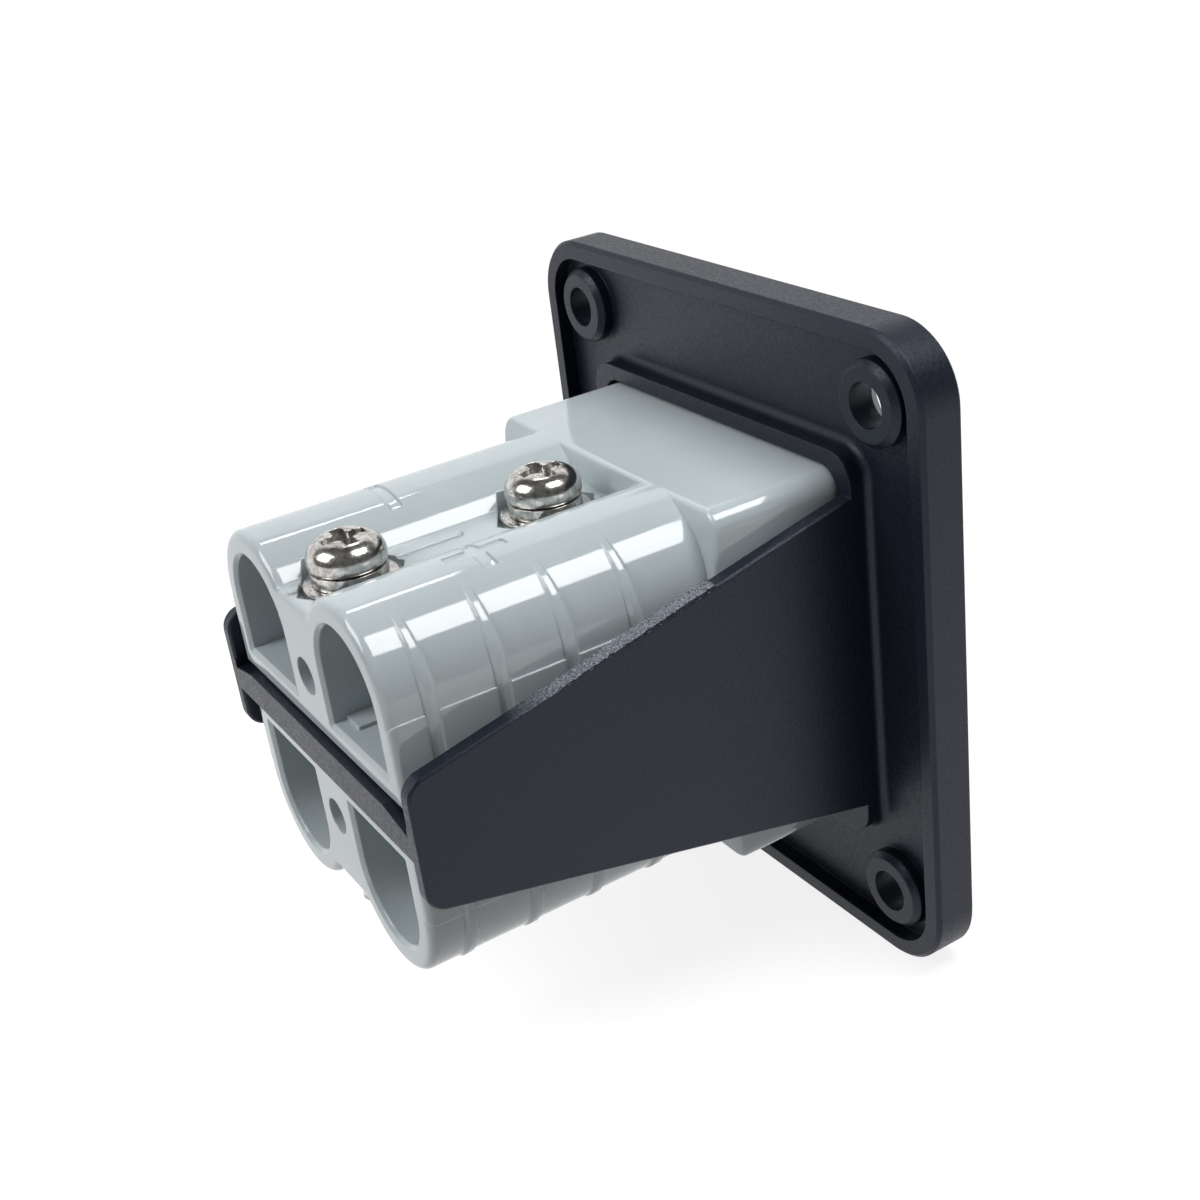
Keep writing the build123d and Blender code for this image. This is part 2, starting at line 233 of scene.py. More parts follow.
def add_disc(name: str, radius: float, low: float, high: float,
             sides: int = 96) -> bpy.types.Object:
    """Adds a round or many-sided blank on the Z axis.

    Args:
        name: The piece's name.
        radius: Its radius to the corners, in millimetres.
        low: Height of its underside, in millimetres.
        high: Height of its top, in millimetres.
        sides: How many sides it has.

    Returns:
        The blank.
    """
    clear_selection()
    bpy.ops.mesh.primitive_cylinder_add(
        vertices=sides, radius=radius * MM, depth=(high - low) * MM,
        location=(0, 0, (low + high) / 2 * MM))
    blank = bpy.context.object
    blank.name = name
    apply_place(blank)
    return blank


def round_rim(piece: bpy.types.Object, height: float, width: float, steps: int) -> None:
    """Bevels a flat rim of a piece that is turned about the Z axis.

    Args:
        piece: The piece.
        height: Height of the rim, in millimetres.
        width: Width of the bevel, in millimetres.
        steps: How many steps it has.
    """
    pick(piece, Grip.EDGE,
         lambda middle, line: abs(middle.z - height) < NEAR and abs(line.z) < NEAR)
    bpy.ops.mesh.bevel(offset=width * MM, segments=steps, profile=0.5, affect="EDGES")
    bpy.ops.object.mode_set(mode="OBJECT")


def bore_through(piece: bpy.types.Object, wall: float) -> None:
    """Opens a disc into a ring by insetting both ends and bridging them.

    Args:
        piece: The disc.
        wall: Width of the ring that stays, in millimetres.
    """
    pick(piece, Grip.FACE, lambda middle, normal: abs(normal.z) > LEVEL)
    bpy.ops.mesh.inset(thickness=wall * MM)
    pick(piece, Grip.FACE, lambda middle, normal: abs(normal.z) > LEVEL and on_axis(middle))
    bpy.ops.mesh.bridge_edge_loops()
    bpy.ops.object.mode_set(mode="OBJECT")


def carve(piece: bpy.types.Object, cutter: bpy.types.Object, keep: Cut = Cut.OUTSIDE) -> None:
    """Cuts one solid by another and removes the cutter.

    Args:
        piece: The solid that stays.
        cutter: The solid that cuts it.
        keep: Which part of the piece stays.
    """
    take(piece)
    cut = piece.modifiers.new("cut", "BOOLEAN")
    cut.object = cutter
    cut.operation = keep.value
    cut.solver = "EXACT"
    bpy.ops.object.modifier_apply(modifier=cut.name)
    bpy.data.objects.remove(cutter, do_unlink=True)


def wind(piece: bpy.types.Object, turn: float, rise: float, rounds: int, steps: int) -> None:
    """Winds a closed outline about the Z axis into a coil with closed ends.

    Args:
        piece: The outline, in a plane through the axis.
        turn: Angle of one round, in degrees.
        rise: Climb of one round, in millimetres.
        rounds: How many rounds there are.
        steps: How many steps one round has.
    """
    take(piece)
    coil = piece.modifiers.new("coil", "SCREW")
    coil.axis = "Z"
    coil.angle = math.radians(turn)
    coil.screw_offset = rise * MM
    coil.iterations = rounds
    coil.steps = steps
    coil.render_steps = steps
    bpy.ops.object.modifier_apply(modifier=coil.name)
    bpy.ops.object.mode_set(mode="EDIT")
    bpy.ops.mesh.select_all(action="SELECT")
    bpy.ops.mesh.fill_holes(sides=END_CORNERS)
    bpy.ops.mesh.select_all(action="SELECT")
    bpy.ops.mesh.normals_make_consistent(inside=False)
    bpy.ops.object.mode_set(mode="OBJECT")


def soften(piece: bpy.types.Object, edge: SoftEdge) -> None:
    """Gives every sharp edge of a piece a small applied bevel."""
    take(piece)
    bevel = piece.modifiers.new("soft_edges", "BEVEL")
    bevel.width = edge.width * MM
    bevel.segments = edge.steps
    bevel.limit_method = "ANGLE"
    bevel.angle_limit = math.radians(edge.from_degrees)
    bevel.harden_normals = False
    bpy.ops.object.modifier_apply(modifier=bevel.name)


def thicken(piece: bpy.types.Object, wall: float, outwards: bool) -> None:
    """Gives a sheet an applied wall.

    Args:
        piece: The sheet.
        wall: Thickness of the wall, in millimetres.
        outwards: True if it grows along the normals, False if against them.
    """
    take(piece)
    solid = piece.modifiers.new("wall", "SOLIDIFY")
    solid.thickness = wall * MM
    solid.offset = 1.0 if outwards else -1.0
    bpy.ops.object.modifier_apply(modifier=solid.name)


def join(pieces: Sequence[bpy.types.Object], name: str) -> bpy.types.Object:
    """Joins pieces into one object.

    Args:
        pieces: The pieces, the first of which takes the others.
        name: Name of the result.

    Returns:
        The joined object.
    """
    take(pieces[0])
    for piece in pieces[1:]:
        piece.select_set(True)
    bpy.ops.object.join()
    joined = bpy.context.object
    joined.name = name
    joined.data.name = name
    return joined


def copy_to(piece: bpy.types.Object, name: str, y_mm: float = 0.0) -> bpy.types.Object:
    """Copies a piece with its own mesh and moves the copy's mesh along Y.

    Args:
        piece: The piece to copy.
        name: Name of the copy.
        y_mm: How far it moves, in millimetres.

    Returns:
        The copy.
    """
    copy = piece.copy()
    copy.data = piece.data.copy()
    bpy.context.scene.collection.objects.link(copy)
    copy.name = name
    copy.data.name = name
    copy.location = Vector((0.0, y_mm, 0.0)) * MM
    apply_place(copy)
    return copy


def settle(piece: bpy.types.Object, material: bpy.types.Material,
           smooth_angle: float) -> None:
    """Finishes a piece: smooth shading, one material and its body.

    Args:
        piece: The finished piece.
        material: Its material.
        smooth_angle: Faces that turn less than this many degrees are shaded as one.
    """
    take(piece)
    bpy.ops.object.shade_smooth_by_angle(angle=math.radians(smooth_angle))
    piece.data.materials.clear()
    piece.data.materials.append(material)
    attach(piece, "root")
    log.info("built %s with %d faces", piece.name, len(piece.data.polygons))


# Finishes

@dataclass(frozen=True)
class Finish:
    """What every finish has: its name and its main colour."""

    name: str
    colour: str

    def material(self) -> bpy.types.Material:
        """Builds the finish as a material."""
        raise NotImplementedError


@dataclass(frozen=True)
class GlossPolycarbonate(Finish):
    """Polycarbonate from a polished mould: a crisp gloss over a faint orange peel.

    Light goes a little way into it, which softens its shadows. Its dust is drawn coarser than
    real dust, which would be too fine to show.
    """

    shade: str = "#B3BEC2"
    cloud_mm: float = 9.0
    roughness: float = 0.075
    cleaner: float = 0.02
    dustier: float = 0.03
    dust_mm: float = 0.35
    ior: float = 1.585
    depth_share: float = 0.12
    depth_mm: float = 0.6
    peel_mm: float = 1.6
    peel_height_mm: float = 0.004
    edge_mm: float = 0.22
    edge_samples: int = 10

    def material(self) -> bpy.types.Material:
        """Builds the plastic with clouded colour, peel and softened edges."""
        material, tree = empty_material(self.name)
        place = add_node(tree, "ShaderNodeTexCoord").outputs["Object"]
        cloud = add_node(tree, "ShaderNodeTexNoise", {
            "Vector": place, "Scale": per_mm(self.cloud_mm), "Detail": 3.0, "Roughness": 0.5})
        colour = add_node(tree, "ShaderNodeMix", {
            MIX_FACTOR: cloud.outputs["Fac"], MIX_FIRST: linear(self.colour),
            MIX_SECOND: linear(self.shade)}, data_type="RGBA")
        dust = add_node(tree, "ShaderNodeTexNoise", {
            "Vector": place, "Scale": per_mm(self.dust_mm), "Detail": 2.0})
        gloss = add_node(tree, "ShaderNodeMapRange", {
            "Value": dust.outputs["Fac"], "From Min": NOISE_LOW, "From Max": NOISE_HIGH,
            "To Min": self.roughness - self.cleaner, "To Max": self.roughness + self.dustier})
        peel = add_node(tree, "ShaderNodeTexNoise", {
            "Vector": place, "Scale": per_mm(self.peel_mm), "Detail": 1.0})
        edge = add_node(tree, "ShaderNodeBevel", {"Radius": self.edge_mm * MM},
                        samples=self.edge_samples)
        bump = add_node(tree, "ShaderNodeBump", {
            "Height": peel.outputs["Fac"], "Distance": self.peel_height_mm * MM,
            "Strength": 1.0, "Normal": edge.outputs["Normal"]})
        surface = add_node(tree, "ShaderNodeBsdfPrincipled", {
            "Base Color": colour.outputs[MIX_RESULT], "Roughness": gloss.outputs["Result"],
            "IOR": self.ior, "Subsurface Weight": self.depth_share,
            "Subsurface Radius": (1.0, 1.0, 1.0), "Subsurface Scale": self.depth_mm * MM,
            "Normal": bump.outputs["Normal"]})
        add_node(tree, "ShaderNodeOutputMaterial", {"Surface": surface.outputs["BSDF"]})
        return material


@dataclass(frozen=True)
class SparkTexturedAbs(Finish):
    """Black ABS from a spark-eroded mould: a fine even grain that breaks its gloss into specks.

    A real grain is about 0.1 mm and would be too fine to show, so it is drawn nearly three
    times as coarse. The cheeks' sloping edges are rough over part of their length, and the
    roughness runs out smoothly towards the wire end. On those edges, where they tilt up towards
    the light, pale specks are painted: a painted highlight of the grain catching the light,
    which starts where the hood block's shadow falls on them.
    """

    shade: str = "#161B27"
    sheen: str = "#E6EDFF"
    cloud_mm: float = 14.0
    roughness: float = 0.42
    smoother: float = 0.08
    rougher: float = 0.1
    ior: float = 1.53
    specular: float = 0.37
    grain_mm: float = 0.28
    grain_height_mm: float = 0.022
    edge_mm: float = 0.2
    edge_samples: int = 6
    # Painted highlight: the pale colour of grain that catches the light on the sloping edges.
    rough_edge_glint: str = "#9EA3AC"
    rough_edge_inner: float = 18.7
    rough_edge_inner_blend: float = 0.1
    # The rough edge and its painted highlight start where the hood block's shadow falls.
    rough_edge_start: float = 14.8
    rough_edge_start_blend: float = 0.3
    rough_edge_end: float = 30.2
    rough_edge_fade: float = 35.2
    # Only faces that tilt up this much towards the light get the painted specks and the roughness.
    rough_edge_slope: tuple[float, float] = (0.45, 0.6)
    rough_edge_grain_mm: float = 0.11
    rough_edge_grain_stretch: float = 2.0
    glint_range: tuple[float, float] = (0.42, 0.66)
    least_glint: float = 0.1
    rough_edge_height_mm: float = 0.05

    def rough_glinting_edge(self, tree: bpy.types.NodeTree,
                     where: bpy.types.Node) -> bpy.types.NodeSocket:
        """Finds the cheeks' rough sloping edges, where a highlight is painted, by their place and
        slope.

        Args:
            tree: The material's tree.
            where: Its texture coordinate node.

        Returns:
            An output that is one on those edges and zero elsewhere.
        """
        place = add_node(tree, "ShaderNodeSeparateXYZ", {0: where.outputs["Object"]})
        slope = add_node(tree, "ShaderNodeSeparateXYZ", {0: where.outputs["Normal"]})
        side = add_node(tree, "ShaderNodeMath", {0: place.outputs["X"]}, operation="ABSOLUTE")
        level = add_node(tree, "ShaderNodeMath", {0: slope.outputs["Z"]}, operation="ABSOLUTE")
        along = place.outputs["Y"]
        limits = (
            (side.outputs[0], self.rough_edge_inner * MM,
             (self.rough_edge_inner + self.rough_edge_inner_blend) * MM),
            (along, self.rough_edge_start * MM, (self.rough_edge_start + self.rough_edge_start_blend) * MM),
            (along, self.rough_edge_fade * MM, self.rough_edge_end * MM),
            (level.outputs[0], *self.rough_edge_slope))
        found: Any = 1.0
        for value, zero_at, one_at in limits:
            step = add_node(tree, "ShaderNodeMapRange", {
                "Value": value, "From Min": zero_at, "From Max": one_at})
            both = add_node(tree, "ShaderNodeMath", {0: found, 1: step.outputs["Result"]},
                            operation="MULTIPLY")
            found = both.outputs[0]
        return found

    def material(self) -> bpy.types.Material:
        """Builds the plastic with its grain in both bump and gloss, and a painted highlight of pale
        specks on its sloping edges.
        """
        material, tree = empty_material(self.name)
        where = add_node(tree, "ShaderNodeTexCoord")
        place = where.outputs["Object"]
        # Where the sloping edges are rough and their grain catching the light is painted as pale
        # specks.
        rough_edge_glint = self.rough_glinting_edge(tree, where)
        cloud = add_node(tree, "ShaderNodeTexNoise", {
            "Vector": place, "Scale": per_mm(self.cloud_mm), "Detail": 2.0})
        colour = add_node(tree, "ShaderNodeMix", {
            MIX_FACTOR: cloud.outputs["Fac"], MIX_FIRST: linear(self.colour),
            MIX_SECOND: linear(self.shade)}, data_type="RGBA")
        along = add_node(tree, "ShaderNodeMapping", {
            "Vector": place, "Scale": (1.0, 1.0 / self.rough_edge_grain_stretch, 1.0)})
        rough_grain = add_node(tree, "ShaderNodeTexNoise", {
            "Vector": along.outputs[0], "Scale": per_mm(self.rough_edge_grain_mm), "Detail": 2.0,
            "Roughness": 0.7})
        # Painted highlight: pale specks where the grain of the sloping edges catches the light,
        # mixed into the colour below.
        glint_specks = add_node(tree, "ShaderNodeMapRange", {
            "Value": rough_grain.outputs["Fac"], "From Min": self.glint_range[0],
            "From Max": self.glint_range[1], "To Min": self.least_glint, "To Max": 1.0})
        painted_glints = add_node(tree, "ShaderNodeMath", {0: glint_specks.outputs[0], 1: rough_edge_glint},
                             operation="MULTIPLY")
        body = add_node(tree, "ShaderNodeMix", {
            MIX_FACTOR: painted_glints.outputs[0], MIX_FIRST: colour.outputs[MIX_RESULT],
            MIX_SECOND: linear(self.rough_edge_glint)}, data_type="RGBA")
        grain = add_node(tree, "ShaderNodeTexNoise", {
            "Vector": place, "Scale": per_mm(self.grain_mm), "Detail": 2.0, "Roughness": 0.6})
        gloss = add_node(tree, "ShaderNodeMapRange", {
            "Value": grain.outputs["Fac"], "From Min": NOISE_LOW, "From Max": NOISE_HIGH,
            "To Min": self.roughness - self.smoother, "To Max": self.roughness + self.rougher})
        edge = add_node(tree, "ShaderNodeBevel", {"Radius": self.edge_mm * MM},
                        samples=self.edge_samples)
        bump = add_node(tree, "ShaderNodeBump", {
            "Height": grain.outputs["Fac"], "Distance": self.grain_height_mm * MM,
            "Strength": 1.0, "Normal": edge.outputs["Normal"]})
        torn = add_node(tree, "ShaderNodeBump", {
            "Height": rough_grain.outputs["Fac"], "Distance": self.rough_edge_height_mm * MM,
            "Strength": rough_edge_glint, "Normal": bump.outputs["Normal"]})
        surface = add_node(tree, "ShaderNodeBsdfPrincipled", {
            "Base Color": body.outputs[MIX_RESULT], "Roughness": gloss.outputs["Result"],
            "IOR": self.ior, "Specular IOR Level": self.specular,
            "Specular Tint": linear(self.sheen), "Normal": torn.outputs["Normal"]})
        add_node(tree, "ShaderNodeOutputMaterial", {"Surface": surface.outputs["BSDF"]})
        return material


@dataclass(frozen=True)
class TumbledMetal(Finish):
    """Bright metal that was tumbled with its like: a mirror, scratched at random and blotched.

    Real scratches are some hundredths of a millimetre wide and would be too fine to show, so
    they are drawn as lumps of a few tenths.
    """

    dull: str = "#9C9892"
    roughness: float = 0.18
    brighter: float = 0.05
    duller: float = 0.08
    scratch_mm: float = 0.3
    scratch_range: tuple[float, float] = (0.35, 0.65)
    scratch_height_mm: float = 0.004
    scratch_strength: float = 0.6
    blotch_mm: float = 0.9
    blotch_range: tuple[float, float] = (0.4, 0.7)
    edge_mm: float = 0.08
    edge_samples: int = 6

    def material(self) -> bpy.types.Material:
        """Builds the metal with scratches in gloss and bump, and blotches in its colour."""
        material, tree = empty_material(self.name)
        place = add_node(tree, "ShaderNodeTexCoord").outputs["Object"]
        blotch = add_node(tree, "ShaderNodeTexNoise", {
            "Vector": place, "Scale": per_mm(self.blotch_mm), "Detail": 4.0,
            "Roughness": 0.65, "Distortion": 0.8})
        worn = add_node(tree, "ShaderNodeMapRange", {
            "Value": blotch.outputs["Fac"], "From Min": self.blotch_range[0],
            "From Max": self.blotch_range[1]})
        colour = add_node(tree, "ShaderNodeMix", {
            MIX_FACTOR: worn.outputs[0], MIX_FIRST: linear(self.colour),
            MIX_SECOND: linear(self.dull)}, data_type="RGBA")
        scratch = add_node(tree, "ShaderNodeTexNoise", {
            "Vector": place, "Scale": per_mm(self.scratch_mm), "Detail": 3.0, "Distortion": 1.5})
        gloss = add_node(tree, "ShaderNodeMapRange", {
            "Value": scratch.outputs["Fac"], "From Min": self.scratch_range[0],
            "From Max": self.scratch_range[1], "To Min": self.roughness - self.brighter,
            "To Max": self.roughness + self.duller})
        edge = add_node(tree, "ShaderNodeBevel", {"Radius": self.edge_mm * MM},
                        samples=self.edge_samples)
        bump = add_node(tree, "ShaderNodeBump", {
            "Height": scratch.outputs["Fac"], "Distance": self.scratch_height_mm * MM,
            "Strength": self.scratch_strength, "Normal": edge.outputs["Normal"]})
        surface = add_node(tree, "ShaderNodeBsdfPrincipled", {
            "Base Color": colour.outputs[MIX_RESULT], "Metallic": 1.0,
            "Roughness": gloss.outputs["Result"], "Normal": bump.outputs["Normal"]})
        add_node(tree, "ShaderNodeOutputMaterial", {"Surface": surface.outputs["BSDF"]})
        return material


# The housings: a cool light grey under a wet-looking gloss.
HOUSING_FINISH = GlossPolycarbonate("moulded_polycarbonate_grey", "#C0CACD")
# The bracket: a bluish black that lamps at a low angle turn dark grey.
BRACKET_FINISH = SparkTexturedAbs("spark_textured_abs_black", "#10141F")
# Screws, washers and nuts: bright steel with a warm, dull bloom.
FASTENER_FINISH = TumbledMetal("tumbled_stainless_steel", "#D6D4D0")
# The contacts' springs: steel strip as rolled, darker and softer in its gloss.
SPRING_FINISH = TumbledMetal(
    "rolled_spring_stainless", "#B9B8B4", dull="#96948F", roughness=0.26, scratch_mm=0.6)
# The contacts: copper under silver plate, nearly white, with wide faint clouds of tarnish.
CONTACT_FINISH = TumbledMetal(
    "silver_plated_copper", "#E6E3DC", dull="#D0CBC0", roughness=0.22, scratch_mm=0.5,
    blotch_mm=3.0)

NODE_FINISHES: dict[str, Finish] = {
    "housing": HOUSING_FINISH,
    "bracket": BRACKET_FINISH,
    "contact": CONTACT_FINISH,
    "spring": SPRING_FINISH,
    "screws": FASTENER_FINISH,
    "washers": FASTENER_FINISH,
    "nuts": FASTENER_FINISH,
}


@dataclass
class FrameDressing:
    """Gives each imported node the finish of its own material."""

    materials: dict[str, bpy.types.Material] = field(default_factory=dict)

    def material_for(self, finish: Finish) -> bpy.types.Material:
        """Returns the finish's material, built once."""
        if finish.name not in self.materials:
            self.materials[finish.name] = finish.material()
        return self.materials[finish.name]

    def dress(self, nodes: dict[str, bpy.types.Object]) -> None:
        """Assigns every node's material, by the last word of its name.

        Args:
            nodes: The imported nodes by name.
        """
        for name, node in nodes.items():
            finish = NODE_FINISHES[name.split("_")[-1]]
            for material_slot in node.material_slots:
                material_slot.material = self.material_for(finish)
            log.info("dressed %s with %s", name, finish.name)


# Clamping hardware

class ScrewPlace(Enum):
    """The two clamp screws, with the Y of their axis in millimetres."""

    REAR = 38.26
    FRONT = 18.86


@dataclass
class ClampHardware:
    """The screws, washers and nuts that clamp both housings to the web.

    Lengths are millimetres and angles degrees. All pieces are made on the Z axis. A cutter
    stands past its work by the length called past.
    """

    finish: bpy.types.Material
    smooth_angle: float = 35.0
    past: float = 1.0

    washer_floor: float = 13.9
    bore_radius: float = 2.15
    flat_thickness: float = 0.8
    flat_radius: float = 4.25
    flat_rim: float = 0.2
    flat_rim_steps: int = 3

    spring_thickness: float = 1.2
    spring_radius: float = 3.4
    spring_pressed: float = 0.1
    spring_rise: float = 0.06
    spring_steps: int = 64
    spring_gap: float = 11.0
    spring_gap_reach: float = 1.5
    spring_slant: float = 0.35
    spring_turn: float = -35.0
    spring_edge: SoftEdge = SoftEdge(0.13, 3, 50.0)

    head_radius: float = 3.5
    head_height: float = 2.6
    head_shoulder: float = 1.75
    head_shoulder_steps: int = 12
    head_underside: float = 0.5
    head_underside_steps: int = 5
    head_edge: SoftEdge = SoftEdge(0.07, 2, 38.0)
    burr_height: float = 0.07
    burr_insets: tuple[float, ...] = (0.1, 0.16, 0.12, 0.16)

    recess_span: float = 4.1
    recess_arm: float = 1.15
    recess_depth: float = 1.9
    recess_foot_span: float = 2.3
    recess_foot_arm: float = 0.75
    recess_well_sides: int = 24
    recess_well_taper: float = 0.6

    screw_tip: float = -19.1
    tip_chamfer: float = 0.4
    tip_chamfer_steps: int = 2
    core_radius: float = 1.63
    core_sides: int = 48
    core_overlap: float = 0.3
    thread_ridge: float = 0.37
    thread_pitch: float = 0.7
    thread_rounds: int = 9
    thread_steps: int = 40
    thread_above_tip: float = 0.45

    nut_across_flats: float = 8.6
    nut_height: float = 3.2
    nut_chamfer: float = 0.55
    nut_turning_play: float = 0.02
    nut_bore_tighter: float = 0.1
    nut_bore_sides: int = 48
    nut_edge: SoftEdge = SoftEdge(0.08, 2, 25.0)

    @property
    def seat(self) -> float:
        """Height of the screw head's underside."""
        return self.washer_floor + self.flat_thickness + self.spring_thickness

    def screw_head(self) -> bpy.types.Object:
        """Shapes a pan head with a rounded shoulder, a burred rim and a cross recess."""
        top = self.seat + self.head_height
        well_floor = top - self.recess_depth
        head = add_disc("screw_head", self.head_radius, self.seat, top)
        round_rim(head, top, self.head_shoulder, self.head_shoulder_steps)
        round_rim(head, self.seat, self.head_underside, self.head_underside_steps)
        pick(head, Grip.FACE, lambda middle, normal: middle.z > top - NEAR and on_axis(middle))
        burr_rises = (0.0, self.burr_height, 0.0, -self.burr_height)
        for width, rise in zip(self.burr_insets, burr_rises):
            bpy.ops.mesh.inset(thickness=width * MM, depth=rise * MM)
        bpy.ops.object.mode_set(mode="OBJECT")
        for long_x in (True, False):
            carve(head, self.recess_arm_cutter(top, long_x))
        well = add_disc("recess_well", self.recess_arm, well_floor, top + self.past,
                        self.recess_well_sides)
        pick(well, Grip.FACE, lambda middle, normal: normal.z < -LEVEL)
        bpy.ops.transform.resize(
            value=(self.recess_well_taper, self.recess_well_taper, 1.0),
            center_override=(0, 0, well_floor * MM))
        bpy.ops.object.mode_set(mode="OBJECT")
        carve(head, well)
        soften(head, self.head_edge)
        return head

    def recess_arm_cutter(self, top: float, long_x: bool) -> bpy.types.Object:
        """Makes one tapered arm of the cross.

        Args:
            top: Height of the head's top.
            long_x: True for the arm along X, False for the one along Y.

        Returns:
            The cutter.
        """
        spans = (self.recess_span, self.recess_arm)
        feet = (self.recess_foot_span, self.recess_foot_arm)
        if not long_x:
            spans, feet = spans[::-1], feet[::-1]
        floor = top - self.recess_depth
        centre = (0, 0, (floor + top) / 2 * MM)
        clear_selection()
        bpy.ops.mesh.primitive_cube_add(size=MM, location=centre)
        cutter = bpy.context.object
        apply_place(cutter)
        pick(cutter, Grip.FACE, everything)
        bpy.ops.transform.resize(value=(*spans, self.recess_depth), center_override=centre)
        pick(cutter, Grip.FACE, lambda middle, normal: normal.z < -LEVEL)
        bpy.ops.transform.resize(value=(feet[0] / spans[0], feet[1] / spans[1], 1.0),
                                 center_override=(0, 0, floor * MM))
        pick(cutter, Grip.FACE, lambda middle, normal: normal.z > LEVEL)
        bpy.ops.mesh.extrude_region_move(
            TRANSFORM_OT_translate={"value": (0, 0, self.past * MM)})
        bpy.ops.object.mode_set(mode="OBJECT")
        return cutter

    def screw_shank(self) -> bpy.types.Object:
        """Turns the core of the shank and winds the rolled thread round its lower end."""
        core = add_disc("screw_core", self.core_radius, self.screw_tip,
                        self.seat + self.core_overlap, self.core_sides)
        round_rim(core, self.screw_tip, self.tip_chamfer, self.tip_chamfer_steps)
        clear_selection()
        bpy.ops.mesh.primitive_circle_add(
            vertices=3, radius=self.thread_ridge * MM, fill_type="NOTHING",
            location=(self.core_radius * MM, 0, (self.screw_tip + self.thread_above_tip) * MM),
            rotation=(math.pi / 2, math.pi / 2, 0))
        ridge = bpy.context.object
        apply_place(ridge)
        wind(ridge, 360.0, self.thread_pitch, self.thread_rounds, self.thread_steps)
        return join((core, ridge), "screw_shank")

    def screw(self) -> bpy.types.Object:
        """Joins head and shank into one screw."""
        return join((self.screw_head(), self.screw_shank()), "clamp_screw")

    def flat_washer(self) -> bpy.types.Object:
        """Blanks a flat ring with a rounded top edge."""
        top = self.washer_floor + self.flat_thickness
        ring = add_disc("flat_washer", self.flat_radius, self.washer_floor, top)
        round_rim(ring, top, self.flat_rim, self.flat_rim_steps)
        bore_through(ring, self.flat_radius - self.bore_radius)
        return ring

    def spring_washer(self) -> bpy.types.Object:
        """Winds a split ring of square wire, pressed flat, with a slanting gap."""
        low = self.washer_floor + self.flat_thickness
        middle_height = low + self.spring_thickness / 2
        middle = ((self.spring_radius + self.bore_radius) / 2 * MM, 0, middle_height * MM)
        clear_selection()
        bpy.ops.mesh.primitive_plane_add(size=MM, location=middle, rotation=(math.pi / 2, 0, 0))
        ring = bpy.context.object
        ring.name = "spring_washer"
        apply_place(ring)
        pick(ring, Grip.FACE, everything)
        bpy.ops.transform.resize(
            value=(self.spring_radius - self.bore_radius, 1.0,
                   self.spring_thickness - self.spring_pressed),
            center_override=middle)
        bpy.ops.mesh.delete(type="ONLY_FACE")
        bpy.ops.object.mode_set(mode="OBJECT")
        wind(ring, 360.0 - self.spring_gap, self.spring_rise, 1, self.spring_steps)
        gap_middle = math.radians(self.spring_gap / 2)
        reach = math.radians(self.spring_gap / 2 + self.spring_gap_reach)
        pick(ring, Grip.CORNER, lambda corner, way: corner.z > middle_height and abs(
            math.remainder(math.atan2(corner.y, corner.x) + gap_middle, math.tau)) < reach)
        bpy.ops.transform.translate(value=(0, self.spring_slant * MM, 0))
        bpy.ops.object.mode_set(mode="OBJECT")
        soften(ring, self.spring_edge)
        ring.rotation_euler = (0, 0, math.radians(self.spring_turn))
        apply_place(ring)
        return ring

    def nut(self) -> bpy.types.Object:
        """Shapes a hexagon nut with turned corners and a bore."""
        top = -self.washer_floor
        low = top - self.nut_height
        corner = self.nut_across_flats / 2 / math.cos(math.pi / 6)
        body = add_disc("clamp_nut", corner, low, top, 6)
        turned = add_disc("turned_corners", corner + self.nut_turning_play, low, top)
        for rim in (low, top):
            round_rim(turned, rim, self.nut_chamfer, 1)
        carve(body, turned, Cut.SHARED)
        bore = add_disc("nut_bore", self.bore_radius - self.nut_bore_tighter, low - self.past,
                        top + self.past, self.nut_bore_sides)
        carve(body, bore)
        soften(body, self.nut_edge)
        return body

    def build(self) -> None:
        """Makes each kind once and puts a copy at both screw places."""
        kinds = (("clamp_screws", self.screw()), ("flat_washers", self.flat_washer()),
                 ("spring_washers", self.spring_washer()), ("clamp_nuts", self.nut()))
        for node, model in kinds:
            for place in ScrewPlace:
                piece = copy_to(model, f"{place.name.lower()}_{model.name}", place.value)
                settle(piece, self.finish, self.smooth_angle)
                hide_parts(node)
            bpy.data.objects.remove(model, do_unlink=True)


# Moulded signs

class Pole(Enum):
    """The two poles, with the X of their sign on the upper housing in millimetres."""

    POSITIVE = -9.12
    NEGATIVE = 8.98


